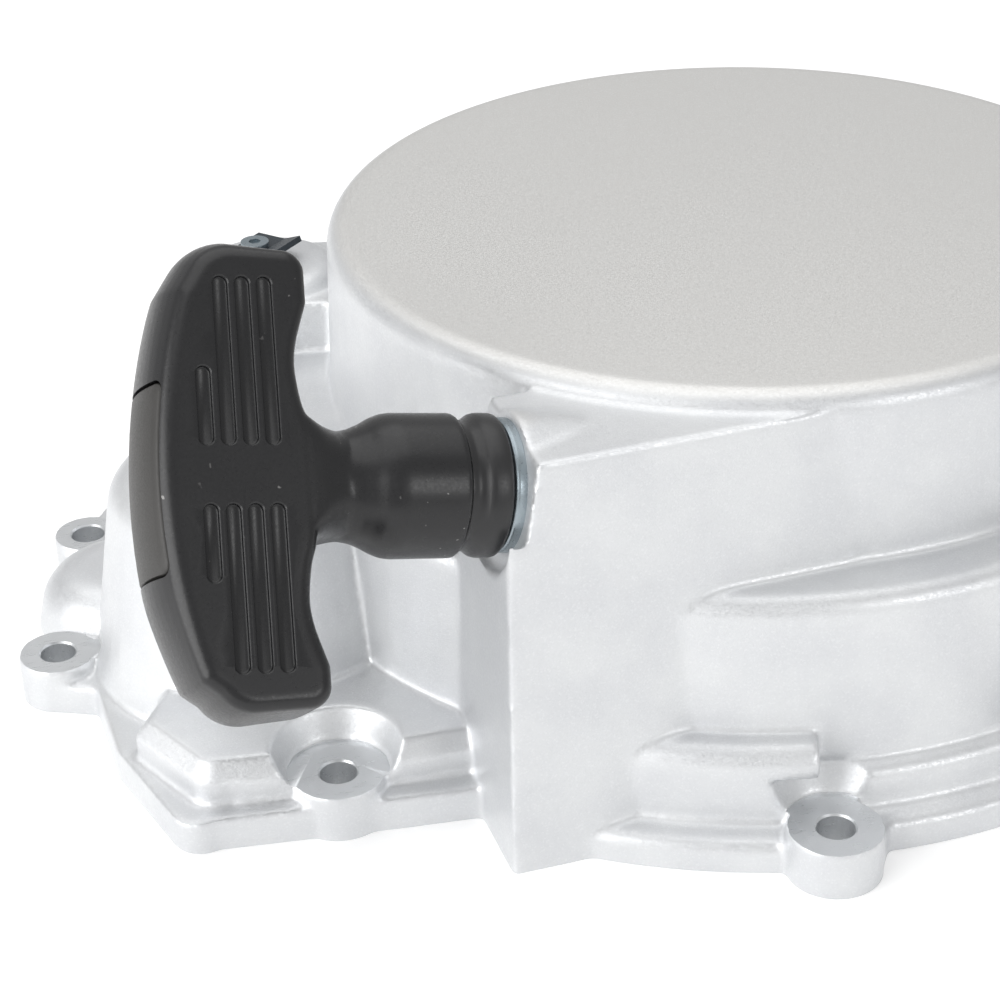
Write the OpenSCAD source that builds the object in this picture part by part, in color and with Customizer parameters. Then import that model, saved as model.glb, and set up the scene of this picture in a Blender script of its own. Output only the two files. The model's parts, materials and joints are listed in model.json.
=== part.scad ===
// Recoil starter cover with its rope reel, clutch and pull handle.
// Millimetres, +Z up. The origin is on the reel axis, on the gasket face.
// +X points away from the handle; the rope leaves towards -X, beside the drum.

/* [Cover] */
// Outer radius of the drum at its top
drum_r = 81; // [80.5:0.1:81.5]
// Height of the drum above the gasket face
cover_h = 80; // [79.5:0.1:80.5]
// Wall thickness of the casting
wall = 4; // [3.5:0.1:4.5]
// Outer radius of the lower housing under the drum
skirt_r = 94.5; // [94:0.1:95]
// Height of the shoulder between drum and lower housing
shoulder_z = 47.6; // [47:0.1:48]
// Outer radius of the gasket flange
flange_r = 102.5; // [102:0.1:103]
// Thickness of the bolt bosses
boss_h = 9; // [8:0.1:10]
// Radius of the bolt bosses
boss_r = 8.6; // [8:0.1:9]
// Radius of the two bosses at the far left end
end_boss_r = 7; // [6.6:0.1:7.4]
// Radius of the bolt holes
bolt_hole_r = 3.4; // [3.3:0.05:3.6]

/* [Rope path] */
// Distance of the rope's line from the reel axis
rope_y = 66; // [65.8:0.1:66.2]
// Angle by which the rope rises on its way out, in degrees
rope_rise = 11; // [10.5:0.5:11.5]
// Radius of the rope
rope_r = 1.8; // [1.6:0.1:1.9]
// Height of the middle of the reel's groove
groove_z = 57; // [56.8:0.1:57.2]

/* [Handle] */
// Angle by which the handle is turned about the rope, in degrees
handle_turn = 39.5; // [30:0.5:45]
// Half of the length of the grip
grip_half = 38; // [37:0.5:39]
// Thickness of the grip
grip_t = 22; // [20:0.5:23]
// Distance from the rope guide to the crest of the grip's back
grip_s = 60; // [59.5:0.1:60.5]
// Radius of the handle's bell
bell_r = 12.1; // [11.8:0.1:12.3]

/* [Reel and clutch] */
// Radius of the reel's flanges
reel_r = 71; // [70.5:0.1:72]
// Radius of the centre post cast in the cover
post_r = 8; // [7.8:0.1:8.2]
// Distance of each pawl's pin from the reel axis
pawl_pin_d = 24; // [23.8:0.1:24.2]
// Angle by which the pawls swing out, in degrees
pawl_swing = 25; // [20:1:26]
// Angle by which the friction plate turns on the reel, in degrees
plate_turn = 30; // [28:1:32]

/* [Hidden] */

$fn = 96;
eps = 0.01;
fit = 0.05;      // radial clearance of a running fit
gap = 0.3;       // clearance between bodies

// Bolt bosses round the flange, each with its radius, clockwise seen from below
bosses = [[-128.5, 43, end_boss_r], [-142, 0, end_boss_r + 0.6], [-101, -57, boss_r], [-24.5, -102.5, boss_r],
    [24.5, -102.5, boss_r], [84, -64, boss_r], [105.5, 0, boss_r], [84, 64, boss_r],
    [24.5, 102.5, boss_r], [-24.5, 102.5, boss_r], [-101, 70, boss_r]];
pad_boss = 2;        // the boss let into the stepped pad
spot_relief = 3.5;   // how far the relief above a boss opens out

// Rope guide: centre of its outer face, on the rope's line
guide = [-71.2, -rope_y, 66.9];
ring_r = 11.4;
ring_t = 2;
seat_r = 14.6;       // round seat cut for the ring, open at the tower's faces
seat_rise = 2;       // above this height over the rope the whole end is faced
shank_r = 7.5;
shank_l = 11;

// Tower that carries the rope guide
tower_z = 77;
tower_y0 = 85.4;     // front face at the gasket face
tower_y1 = 79;       // front face at the top
tower_x0 = 77.5;     // end face at the gasket face
tower_x1 = 74.8;     // end face at the top
tower_back = 53;     // rear face

// Left bulge over the starter gears, and the rear boss for the wire outlet
bulge = [-104, -8];
bulge_r0 = 32.5;
bulge_r1 = 26;
rear_boss = [-84, 50];
rear_boss_r = 16.5;
rear_boss_z = 61.5;
clamp = [-86, 52];   // screw of the wire clamp
clamp_z = 62.8;
clamp_turn = -49.5;
end_dome = [-125, 21];
end_dome_r = 17;
end_dome_z = 13.5;

// Levels inside the drum
roof_z = cover_h - wall;
drum_in_r = 77;
skirt_in_r = 90;
skirt_roof_z = 43.5;
case_z = 67.6;       // open side of the spring case
case_r = 46;
case_screw_d = 54;
case_screw_hole_r = 1.6;
bolt_bore_r = 4;     // of the reel's bolt in the post
clamp_hole_r = 2;
post_z = 43;         // lower end of the centre post
washer_t = 1.7;      // thrust washer under the post
hub_r = 14.5;
hub_z = [47, 74.5];
web_z = [56, 59];
groove_r = 60;
groove_half = 5.5;
flange_t = 2;
pawl_z = [46, 51.5];
plate_z = [43.2, 45.3];

// Shared shapes

function arc(c, r, a0, a1, n) = [for (i = [0:n]) let (a = a0 + (a1 - a0)*i/n) c + r*[cos(a), sin(a)]];

module tube(r_out, r_in, h) {
    difference() {
        cylinder(r = r_out, h = h);
        translate([0, 0, -1]) cylinder(r = r_in, h = h + 2);
    }
}

// Local frame of the rope guide: z runs out along the rope, x up, y away from the front
module at_guide() {
    translate(guide) rotate([0, rope_rise - 90, 0]) children();
}

module at_handle() {
    at_guide() rotate([0, 0, handle_turn]) children();
}

// Cover casting

module drum_shape() {
    lip = 4.3;
    foot = 4;
    rotate_extrude($fn = 160) polygon(concat([[0, 0], [flange_r, 0]],
        arc([flange_r - 2.4, 3.6], 2.4, 0, 75, 4),
        [[skirt_r + 3.9, 6.8], [skirt_r + 3.3, 7.8]],
        arc([skirt_r + 0.3, 11.6], 3, 0, 85, 5),
        [[skirt_r, 14.9]],
        arc([skirt_r - 0.9 - foot, shoulder_z - foot], foot, 2, 90, 6),
        [[drum_r + 1.6, shoulder_z], [drum_r + 0.9, shoulder_z + 0.8]],
        arc([drum_r - lip, cover_h - lip], lip, 2, 90, 8),
        [[0, cover_h]]));
}

// Wider stretch of flange and the raised pad between the tower and the front boss
module front_sector() {
    pad_r = 100.6;
    wide_r = 106;
    rotate([0, 0, 230]) rotate_extrude(angle = 25, $fn = 160)
        polygon(concat([[85, 0], [wide_r, 0]], arc([wide_r - 2.4, 3.6], 2.4, 0, 80, 4), [[99, 7], [85, 7]]));
    rotate([0, 0, 230]) rotate_extrude(angle = 25.5, $fn = 160)
        polygon(concat([[85, 1], [pad_r, 1]], arc([pad_r - 4.5, 17], 4.5, 2, 88, 6), [[85, 21.6]]));
}

module tower_shape(inset, top) {
    difference() {
        intersection() {
            rotate([90, 0, 90]) translate([0, 0, -85]) linear_extrude(75)
                polygon([[-tower_y0 + inset, -1], [-tower_y1 + inset, top],
                    [-tower_back - inset, top], [-tower_back - inset, -1]]);
            rotate([90, 0, 0]) linear_extrude(90)
                polygon([[-tower_x0 + inset, -1], [-tower_x1 + inset, top], [-12, top], [-12, -1]]);
        }
        translate([-100, -100, -2]) cube([100, 100, 2]);
    }
}

module boss(p) {
    reach = 22;
    spread = 9;
    r = p[2];
    inward = norm([p[0], p[1]]) > 112 ? bulge + [0, 4] : [0, 0];
    dir = atan2(inward[1] - p[1], inward[0] - p[0]);
    translate([p[0], p[1], 0]) {
        cylinder(r = r, h = boss_h, $fn = 64);
        rotate([0, 0, dir]) linear_extrude(flare_h)
            polygon([[-2, 0.4 - r], [-2, r - 0.4], [reach, r + spread], [reach, -r - spread]]);
    }
}

// Left part of the flange with its stepped pad
plate_h = 6.5;
flare_h = 6.1;
pad_h = 11.5;
pad_top = 15;
plate_outline = concat([[-60, -70], [-92, -65.5], [-122, -60.5]], arc([-126, -55], 5.5, -70, -165, 5),
    [[-137, -33], [-137, 10], [-134, 40], [-122, 58], [-104, 74], [-72, 88], [-34, 100], [-20, 80]]);
pad_outline = concat([[-62, -64], [-90, -61.5], [-118, -57.5]], arc([-122, -51], 5.5, -80, -165, 5),
    [[-134, -37], [-127, -27], [-100, -10], [-70, -20]]);

module left_shape() {
    linear_extrude(plate_h) polygon(plate_outline);
    translate([0, 0, 1]) linear_extrude(pad_h - 1) polygon(pad_outline);
    hull() {
        translate([0, 0, pad_h]) linear_extrude(eps) polygon(pad_outline);
        translate([0, 0, pad_top]) linear_extrude(eps) offset(delta = -2.5) polygon(pad_outline);
    }
}

module bulge_shape(inset) {
    fillet = 7;
    translate([bulge[0], bulge[1], 0]) rotate_extrude($fn = 96)
        polygon(concat([[0, 1 - inset], [bulge_r0 - inset, 1 - inset]],
            arc([bulge_r1 - inset - fillet, shoulder_z - inset - fillet], fillet, 8, 90, 6),
            [[0, shoulder_z - inset]]));
}

// Low dome between the two bosses of the left end
module end_dome_shape(inset) {
    fillet = 9;
    r = end_dome_r - inset;
    translate([end_dome[0], end_dome[1], 0]) rotate_extrude($fn = 64)
        polygon(concat([[0, 1 - inset], [r + 1, 1 - inset]],
            arc([r - fillet, end_dome_z - inset - fillet], fillet, 5, 90, 6),
            [[0, end_dome_z - inset]]));
}

// Rear boss, with a web that joins it to the drum
module rear_boss_shape(inset) {
    fillet = 6.5;
    web_drop = 3;
    web_turn = -17.5;
    web_length = 24;
    r = rear_boss_r - inset;
    translate([rear_boss[0], rear_boss[1], 1 - inset]) {
        rotate_extrude($fn = 64)
            polygon(concat([[0, 0], [r + 1, 0]],
                arc([r - fillet, rear_boss_z - 1 - fillet], fillet, 3, 90, 6),
                [[0, rear_boss_z - 1]]));
        rotate([0, 0, web_turn]) translate([0, 1 - r, 0])
            cube([web_length, 2*r - 2, rear_boss_z - 1 - web_drop]);
    }
}

// Raised seat of the wire clamp on the rear boss
module clamp_seat() {
    sunk = 6;
    translate([clamp[0], clamp[1], rear_boss_z - sunk])
        cylinder(r = 5, h = clamp_z - rear_boss_z + sunk, $fn = 48);
}

// Fills the corners between the bulge and the lower housing
module saddle_shape(inset) {
    top = shoulder_z - 3 - inset;
    translate([0, 0, 1 - inset]) linear_extrude(top - 1 + inset)
        polygon([[-60, -30 + inset], [-92, -24 + inset], [-108, -20 + inset],
            [-108, 10 - inset], [-96, 34 - inset], [-76, 58 - inset], [-50, 40 - inset]]);
}

module guide_boss() {
    at_guide() translate([0, 0, -34]) cylinder(r = ring_r + 1.4, h = 34, $fn = 72);
}

module cover_cavity() {
    translate([0, 0, -1]) cylinder(r = drum_in_r, h = roof_z + 1, $fn = 160);
    translate([0, 0, -1]) cylinder(r = skirt_in_r, h = skirt_roof_z + 1, $fn = 160);
    difference() {
        translate([0, 0, -1]) tower_shape(wall, tower_z - wall);
        at_guide() translate([0, 0, -8]) cylinder(r = ring_r + 1.4, h = 20, $fn = 72);
    }
    bulge_shape(wall);
    end_dome_shape(wall);
    rear_boss_shape(wall);
    saddle_shape(wall);
    difference() {
        translate([0, 0, -1]) linear_extrude(pad_h) offset(delta = -wall - 1) polygon(pad_outline);
        translate([bosses[pad_boss][0], bosses[pad_boss][1], -2])
            cylinder(r = boss_r + spot_relief + wall, h = pad_top, $fn = 64);
    }
}

module centre_post() {
    foot_r = 12;
    difference() {
        union() {
            translate([0, 0, post_z]) cylinder(r = post_r, h = roof_z + 1 - post_z);
            translate([0, 0, roof_z - 0.8]) cylinder(r = foot_r, h = 1.8);
        }
        translate([0, 0, post_z - 1]) cylinder(r = bolt_bore_r, h = 24, $fn = 48);
    }
}

module case_boss_ring(r, z0, z1) {
    for (a = [45:90:315])
        rotate([0, 0, a]) translate([case_screw_d, 0, z0]) cylinder(r = r, h = z1 - z0, $fn = 32);
}

module cover_casting() {
    color("silver") difference() {
        union() {
            difference() {
                union() {
                    drum_shape();
                    front_sector();
                    tower_shape(0, tower_z);
                    left_shape();
                    bulge_shape(0);
                    end_dome_shape(0);
                    rear_boss_shape(0);
                    clamp_seat();
                    saddle_shape(0);
                    guide_boss();
                    for (p = bosses) boss(p);
                }
                cover_cavity();
            }
            centre_post();
            case_boss_ring(5, case_z + 1, roof_z + 1);
            for (p = bosses) translate([p[0], p[1], 0]) cylinder(r = p[2] - 1, h = boss_h, $fn = 64);
        }
        for (p = bosses) translate([p[0], p[1], 0]) {
            translate([0, 0, -1]) cylinder(r = bolt_hole_r, h = boss_h + 2, $fn = 48);
            translate([0, 0, boss_h]) cylinder(r1 = p[2] + 0.8, r2 = p[2] + spot_relief, h = 6.5, $fn = 64);
        }
        // seat, bore and rope passage of the rope guide
        at_guide() cylinder(r = seat_r, h = 14, $fn = 96);
        at_guide() translate([seat_rise, -30, 0]) cube([60, 32 + rope_y - tower_back, 14]);
        at_guide() translate([0, 0, -shank_l]) cylinder(r = shank_r, h = shank_l + 1, $fn = 72);
        case_boss_ring(case_screw_hole_r, case_z, roof_z - 2);
        translate([clamp[0], clamp[1], clamp_z - 8]) cylinder(r = clamp_hole_r, h = 10, $fn = 32);
    }
}

// Rope guide

module guide_ferrule() {
    color("lightsteelblue") at_guide() rotate_extrude($fn = 72)
        polygon(concat([[5.2, -shank_l], [shank_r, -shank_l], [shank_r, 0]],
            [[ring_r, 0]], arc([ring_r - 0.8, ring_t - 0.8], 0.8, 0, 90, 4), [[5.2, ring_t]]));
}

module guide_liner() {
    mouth = 1.6;
    color("ivory") at_guide() rotate_extrude($fn = 64)
        polygon(concat([[5.2, ring_t - 0.3]], [[5.2, -shank_l]], [[7.4, -shank_l], [7.4, -shank_l - 3]],
            arc([2.5 + mouth, -shank_l - 1.4], mouth, 270, 180, 5),
            arc([2.5 + mouth, ring_t - 0.3 - mouth], mouth, 180, 90, 5)));
}

// Fixed parts inside the drum

module spring_case() {
    color("gainsboro") difference() {
        union() {
            translate([0, 0, case_z]) cylinder(r = case_r, h = roof_z - 0.8 - case_z, $fn = 128);
            translate([0, 0, case_z]) cylinder(r = case_r + 3.5, h = 1, $fn = 128);
            case_boss_ring(5.5, case_z, case_z + 1);
            for (a = [45:90:315]) rotate([0, 0, a])
                translate([case_r, -5.5, case_z]) cube([case_screw_d - case_r, 11, 1]);
        }
        translate([0, 0, case_z - 1]) cylinder(r = case_r - 1, h = roof_z - 1.8 - case_z + 1, $fn = 128);
        cylinder(r = 16, h = cover_h, $fn = 96);
        case_boss_ring(2, case_z - 1, case_z + 2);
    }
}

module spring_case_screws() {
    head_r = 3.5;
    head_h = 2.4;
    shank = 6;
    key_r = 1.5;
    color("slategray") for (a = [45:90:315]) rotate([0, 0, a]) translate([case_screw_d, 0, 0]) {
        translate([0, 0, case_z - head_h]) difference() {
            cylinder(r = head_r, h = head_h, $fn = 32);
            translate([0, 0, -1]) cylinder(r = key_r, h = 2.2, $fn = 6);
        }
        translate([0, 0, case_z]) cylinder(r = case_screw_hole_r - 0.1, h = shank, $fn = 24);
    }
}

// Flat spiral strip, hooked at both ends
module recoil_spring() {
    turns = 8;
    per_turn = 28;
    inner = 16.5;
    outer = 43.5;
    strip = 0.7;
    height = 5.4;
    pts = turns*per_turn;
    function at(i, off) = (inner + (outer - inner)*i/pts + off)*[cos(360*i/per_turn), sin(360*i/per_turn)];
    color("steelblue") translate([0, 0, case_z + 0.8]) linear_extrude(height) {
        polygon(concat([for (i = [0:pts]) at(i, 0)], [for (i = [pts:-1:0]) at(i, strip)]));
        translate([inner - 1.4, -2]) square([1.6, 2.6]);
        translate([outer, -0.5]) square([1.2, 3]);
    }
}

module centre_bolt() {
    head_h = 5;
    collar_h = 0.8;
    head_z = post_z - washer_t - head_h;
    color("slategray") {
        translate([0, 0, head_z]) cylinder(r = 7, h = head_h, $fn = 6);
        translate([0, 0, head_z + head_h - collar_h]) cylinder(r = 8.2, h = collar_h, $fn = 48);
        translate([0, 0, head_z + head_h]) cylinder(r = bolt_bore_r - fit, h = 22, $fn = 48);
    }
}

module thrust_washer() {
    color("silver") translate([0, 0, post_z - washer_t]) tube(13, bolt_bore_r + 0.2, washer_t);
}

// Bent strip that holds the wire: a flat part under the screw and a lip
clamp_t = 1.2;
module wire_clamp() {
    width = 6.8;
    length = 12;
    lip = 4.5;
    lip_tilt = 20;
    color("dimgray") translate([clamp[0], clamp[1], clamp_z]) rotate([0, 0, clamp_turn]) difference() {
        union() {
            translate([-width/2, -length/2, 0]) cube([width, length, clamp_t]);
            translate([width/2, -length/2, 0]) rotate([0, -lip_tilt, 0]) cube([lip, length, clamp_t]);
        }
        translate([0, 0, -1]) cylinder(r = clamp_hole_r + 0.1, h = 4, $fn = 32);
    }
}

module clamp_screw() {
    head_r = 2.9;
    head_h = 1.1;
    shank = 7;
    key_r = 1.3;
    color("gray") translate([clamp[0], clamp[1], clamp_z + clamp_t]) {
        difference() {
            cylinder(r = head_r, h = head_h, $fn = 32);
            translate([0, 0, 0.4]) cylinder(r = key_r, h = 3, $fn = 6);
        }
        translate([0, 0, -shank]) cylinder(r = clamp_hole_r - fit, h = shank, $fn = 32);
    }
}

// Reel and the parts that turn with it

knot_turn = 120;     // where the rope's end is held in the reel, in degrees
pin_r = 2.5;
module reel() {
    z0 = groove_z - groove_half - flange_t;
    z1 = groove_z + groove_half + flange_t;
    hole_d = 45;
    hole_r = 8;
    rib_t = 3;
    rib_h = 4;
    color("darkslategray") difference() {
        union() {
            translate([0, 0, hub_z[0]]) cylinder(r = hub_r, h = hub_z[1] - hub_z[0]);
            translate([0, 0, web_z[0]]) cylinder(r = groove_r, h = web_z[1] - web_z[0], $fn = 160);
            translate([0, 0, z0]) tube(groove_r, groove_r - 2.5, z1 - z0, $fn = 160);
            translate([0, 0, z0]) tube(reel_r, groove_r - 2.5, flange_t, $fn = 160);
            translate([0, 0, z1 - flange_t]) tube(reel_r, groove_r - 2.5, flange_t, $fn = 160);
            for (a = [0, 180]) rotate([0, 0, a])
                translate([pawl_pin_d, 0, pawl_z[1] + 3.6]) cylinder(r = 5.5, h = 3, $fn = 48);
            for (a = [30:60:330]) rotate([0, 0, a])
                translate([hub_r - 1, -rib_t/2, web_z[1] - eps]) cube([groove_r - hub_r - 1, rib_t, rib_h]);
        }
        translate([0, 0, hub_z[0] - 1]) cylinder(r = bush_r, h = 40, $fn = 72);
        for (a = [0, 180]) rotate([0, 0, a])
            translate([pawl_pin_d, 0, 40]) cylinder(r = pin_r, h = web_z[1] - 41, $fn = 48);
        // lightening holes in the web, and the rope's anchor hole
        for (a = [0:60:300]) rotate([0, 0, a])
            translate([hole_d, 0, web_z[0] - 1]) cylinder(r = hole_r, h = 5, $fn = 48);
        rotate([0, 0, knot_turn]) translate([groove_r - 3.5, 0, groove_z])
            rotate([0, 90, 0]) cylinder(r = rope_r + 0.4, h = 6, $fn = 32);
    }
}

bush_r = 10;
module reel_bush() {
    h = hub_z[1] - hub_z[0] - 0.5;
    color("darkgoldenrod") translate([0, 0, hub_z[0]]) tube(bush_r, post_r + fit, h, $fn = 96);
}

// The turns of the rope, as one ring that fills their space
module rope_coil() {
    h = 10.4;
    color("whitesmoke") translate([0, 0, groove_z - h/2]) tube(64, groove_r + 0.2, h, $fn = 128);
}

module reel_knot() {
    color("whitesmoke") rotate([0, 0, knot_turn])
        translate([53.2, 0, groove_z + 4.6]) sphere(r = 2.5, $fn = 24);
}

module pawl_pin(a) {
    color("lightslategray") rotate([0, 0, a]) translate([pawl_pin_d, 0, pawl_z[0]])
        cylinder(r = pin_r, h = web_z[1] - 1 - pawl_z[0], $fn = 48);
}
module pawl_pin_a() { pawl_pin(0); }
module pawl_pin_b() { pawl_pin(180); }

// Torsion spring round each pin, between the pawl and the reel
module pawl_spring(a) {
    wire = 0.5;
    coil_r = 3.6;
    color("lightsteelblue") rotate([0, 0, a]) translate([pawl_pin_d, 0, pawl_z[1] + 0.8]) {
        for (i = [0:1]) translate([0, 0, i*1.1])
            rotate_extrude($fn = 32) translate([coil_r, 0]) circle(r = wire + 0.06, $fn = 16);
        translate([-coil_r, 0, 0]) rotate([-90, 0, 0]) cylinder(r = wire, h = 9, $fn = 16);
    }
}
module pawl_spring_a() { pawl_spring(0); }
module pawl_spring_b() { pawl_spring(180); }

module friction_spring() {
    color("lightsteelblue") translate([0, 0, plate_z[1] + 0.1]) tube(12.5, 8.8, 1.2);
}

// Peg of the pawl, at step t of its swing, in the reel's frame
peg_d = 11;
peg_r = 1.5;
function peg(t) = [pawl_pin_d, 0] + peg_d*[sin(pawl_swing*t), -cos(pawl_swing*t)];

module friction_plate() {
    steps = 8;
    rim_r = 32;
    hole_d = 22;
    hole_r = 4;
    color("lightgray") difference() {
        translate([0, 0, plate_z[0]]) cylinder(r = rim_r, h = plate_z[1] - plate_z[0], $fn = 96);
        cylinder(r = post_r + fit, h = cover_h, $fn = 96);
        for (a = [0, 180], i = [0:steps]) let (t = i/steps, p = peg(t))
            rotate([0, 0, a - plate_turn*t]) translate([p[0], p[1], 0])
                cylinder(r = peg_r + 0.5, h = cover_h, $fn = 24);
        for (a = [60, 120, 240, 300]) rotate([0, 0, a])
            translate([hole_d, 0, 0]) cylinder(r = hole_r, h = cover_h, $fn = 32);
    }
}

module pawl(a) {
    arm = 17;
    eye_r = 5.2;
    h = pawl_z[1] - pawl_z[0];
    color("dimgray") rotate([0, 0, a]) translate([pawl_pin_d, 0, pawl_z[0]]) {
        difference() {
            union() {
                cylinder(r = eye_r, h = h, $fn = 48);
                linear_extrude(h) polygon([[-5, 0], [-4.6, -9], [-2.5, -arm],
                    [2.5, -arm - 2], [4, -arm + 1], [4.6, -8], [5, 0]]);
            }
            translate([0, 0, -1]) cylinder(r = pin_r + fit, h = h + 2, $fn = 48);
        }
        translate([0, -peg_d, plate_z[0] - pawl_z[0]]) cylinder(r = peg_r, h = 3.4, $fn = 32);
    }
}
module pawl_a() { pawl(0); }
module pawl_b() { pawl(180); }

// Handle: in its own frame z runs out along the rope and x along the grip

back_r = 106;        // curve of the grip's back
tip_r = 6.5;         // corner towards the back
heel_r = 3.8;        // corner towards the cover
heel_s = 35;
tip_s = 47.5;
crown = 3;           // rise of the grip's back in the middle of its thickness
neck_r = 8.9;
grip_shift = -1.2;   // the grip sits slightly off the rope's line
pocket = 14;         // square pocket for the knot
pocket_s = 44;
cap_size = [30.6, 18.6];
cap_depth = 3.8;
function grip_side() = concat(
    arc([0, grip_s - back_r], back_r, 90, 72, 6),
    arc([grip_half - tip_r, tip_s], tip_r, 60, 0, 4),
    arc([grip_half - heel_r - 0.4, heel_s + heel_r], heel_r, 0, -90, 4),
    [[29.5, heel_s], [25.5, 36.6], [21, 38.4], [17, 38.9], [14, 38.2], [10.5, 36.4]]);

// Crowned section of the grip's back over a surface of radius r, filled down to the radius inner
function crown_section(r, inner) = let (sunk = 0.3, half = grip_t/2 - 0.5, rise = crown + sunk,
        ball = (half*half + rise*rise)/(2*rise), a = asin(half/ball))
    concat([[inner, -half]], arc([r + crown - ball, 0], ball, -a, a, 8), [[inner, half]]);

module back_crown(spread) {
    depth = 8;
    rotate([90, 0, 0]) translate([0, grip_s - back_r, 0]) rotate([0, 0, 90 - spread])
        rotate_extrude(angle = 2*spread, $fn = 360) polygon(crown_section(back_r, back_r - depth));
}

module grip_crown() {
    back_crown(17.5);
    for (side = [-1, 1]) translate([side*(grip_half - tip_r - 0.4), 0, tip_s]) rotate([90, 0, 0])
        rotate_extrude($fn = 72) polygon(crown_section(tip_r - 0.2, 0));
}

module handle_grip() {
    side = grip_side();
    other = [for (i = [len(side) - 1:-1:0]) [-side[i][0], side[i][1]]];
    color([0.16, 0.16, 0.17]) at_handle() difference() {
        union() {
            translate([grip_shift, 0, 0]) rotate([90, 0, 0]) translate([0, 0, -grip_t/2])
                linear_extrude(grip_t) polygon(concat(side, other));
            translate([grip_shift, 0, 0]) grip_crown();
            rotate_extrude($fn = 96) polygon(concat(
                [[0, 9.4], [bell_r - 0.4, 9.4], [bell_r, 9.8], [bell_r, 21]],
                arc([bell_r - 3, 21], 3, 0, 50, 4),
                [[neck_r + 0.5, 26.5], [neck_r, 29], [neck_r, 40], [0, 42]]));
        }
        translate([0, 0, 8]) cylinder(r = bell_r - 1.8, h = 9, $fn = 72);
        cylinder(r = rope_r + 0.7, h = 60, $fn = 32);
        // pocket for the knot, open to the back under the snap-in cap
        translate([-pocket/2, -pocket/2, pocket_s]) cube([pocket, pocket, 20]);
        translate([-cap_size[0]/2 - gap, -cap_size[1]/2 - gap, grip_s - cap_depth - 0.2])
            cube([cap_size[0] + 2*gap, cap_size[1] + 2*gap, 8]);
    }
}

module handle_cap() {
    color([0.24, 0.24, 0.25]) at_handle() intersection() {
        back_crown(12);
        translate([-cap_size[0]/2, -cap_size[1]/2, grip_s - cap_depth])
            cube([cap_size[0], cap_size[1], cap_depth + crown + 1]);
    }
}

module handle_seal() {
    color([0.1, 0.1, 0.11]) at_handle() rotate_extrude($fn = 96)
        polygon(concat([[rope_r + 0.5, ring_t + gap], [bell_r - 1.6, ring_t + gap]],
            arc([bell_r - 1.6, ring_t + gap + 1.5], 1.5, 270, 360, 4),
            arc([bell_r - 1.6, ring_t + gap + 3], 1.5, 0, 90, 4),
            [[bell_r - 1.5, 7.6], [bell_r - 1.0, 8.6], [bell_r - 0.9, 9.3], [bell_r - 1.9, 9.3],
             [bell_r - 1.9, 16.9], [rope_r + 0.5, 16.9]]));
}

module rope_anchor() {
    color("lightslategray") at_handle() translate([0, 0, pocket_s]) difference() {
        translate([0.5 - pocket/2, 0.5 - pocket/2, 0]) cube([pocket - 1, pocket - 1, 1.5]);
        translate([0, 0, -1]) cylinder(r = rope_r + 0.5, h = 4, $fn = 32);
    }
}

module handle_knot() {
    knot_r = 3.7;
    color("whitesmoke") at_handle() translate([0, 0, pocket_s + 1.5 + knot_r]) sphere(r = knot_r, $fn = 32);
}

// Rope from the handle's knot through the guide to the reel's tangent point

function unit(v) = v/norm(v);
outward = [-cos(rope_rise), 0, sin(rope_rise)];
run_y = rope_y + 0.2;
run_end = [0, -run_y, groove_z];
run_bend = guide - (shank_l + 2)*outward;
run_points = [run_end, [-10, -run_y, groove_z + 0.6], [-30, -run_y, groove_z + 2.9],
    [-48, -run_y, groove_z + 5.4], run_bend, guide,
    guide + 15*outward, guide + 30*outward, guide + 45.4*outward];

module rope_run() {
    sides = 10;
    n = len(run_points);
    function heading(i) = unit(run_points[min(i + 1, n - 1)] - run_points[max(i - 1, 0)]);
    rings = [for (i = [0:n - 1]) let (t = heading(i), u = [0, 1, 0], v = cross(t, u))
        for (k = [0:sides - 1]) let (a = 360*k/sides) run_points[i] + rope_r*(cos(a)*u + sin(a)*v)];
    skin = [for (i = [0:n - 2], k = [0:sides - 1]) let (m = (k + 1)%sides)
        [i*sides + k, i*sides + m, (i + 1)*sides + m, (i + 1)*sides + k]];
    caps = [[for (k = [sides - 1:-1:0]) k], [for (k = [0:sides - 1]) (n - 1)*sides + k]];
    color("whitesmoke") polyhedron(points = rings, faces = concat(skin, caps));
}

cover_casting();
guide_ferrule();
guide_liner();
spring_case();
spring_case_screws();
recoil_spring();
centre_bolt();
thrust_washer();
wire_clamp();
clamp_screw();
reel();
reel_bush();
rope_coil();
reel_knot();
pawl_pin_a();
pawl_pin_b();
pawl_spring_a();
pawl_spring_b();
friction_spring();
friction_plate();
pawl_a();
pawl_b();
handle_grip();
handle_cap();
handle_seal();
rope_anchor();
handle_knot();
rope_run();
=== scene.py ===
import json
import math

import bmesh
import bpy
from mathutils import Matrix, Vector


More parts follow.
